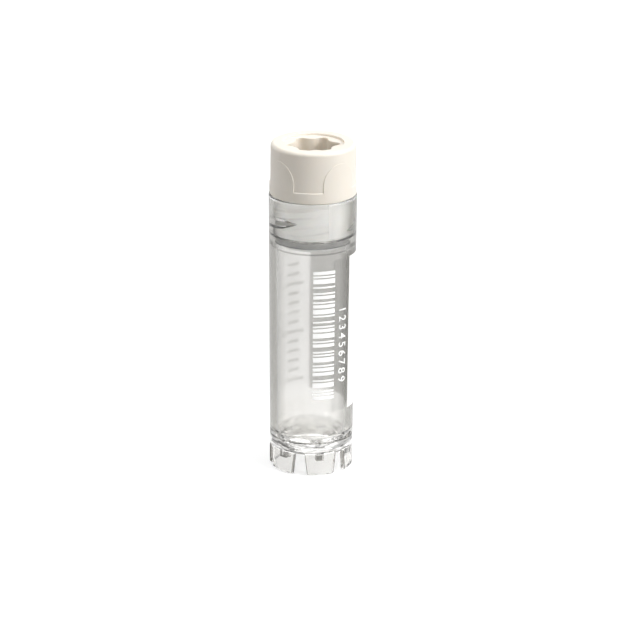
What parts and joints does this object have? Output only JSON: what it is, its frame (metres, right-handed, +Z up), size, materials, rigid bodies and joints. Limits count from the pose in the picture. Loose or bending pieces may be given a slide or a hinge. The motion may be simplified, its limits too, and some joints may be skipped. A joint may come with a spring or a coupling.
{
  "type": "cryovial",
  "caption": "Small clear self-standing tube for frozen samples, with an internal screw thread, a flat sealing ring, a socket-driven screw cap and a toothed foot.",
  "frame": {"origin": "middle of the foot, on the surface that the vial stands on", "axes": "+Z up the tube towards the cap; -Y faces the ladder of bars, +X the writing field"},
  "size_m": [0.0123, 0.0123, 0.047],
  "materials": {
    "clear_plastic": "clear moulded polypropylene, smooth",
    "cap_plastic": "opaque warm white moulded polyethylene, satin",
    "seal_rubber": "grey silicone, smooth",
    "white_print": "opaque white ink"
  },
  "bodies": {
    "vial": {"tube": "clear_plastic", "writing_panel": "white_print", "barcode_bars": "white_print", "graduation_marks": "white_print"},
    "seal": {"sealing_ring": "seal_rubber"},
    "cap": {"screw_cap": "cap_plastic"}
  },
  "joints": [
    {"name": "cap_lift", "type": "slide", "parent": "vial", "child": "seal", "axis": [0, 0, 1], "range_m": [0, 0.0084]},
    {"name": "cap_turn", "type": "hinge", "parent": "seal", "child": "cap", "pos_m": [0, 0, 0.0397], "axis": [0, 0, 1], "range_deg": [0, 600]}
  ],
  "couplings": [
    {"joint": "cap_lift", "follows": "cap_turn", "m_per_rad": 0.00079577}
  ]
}
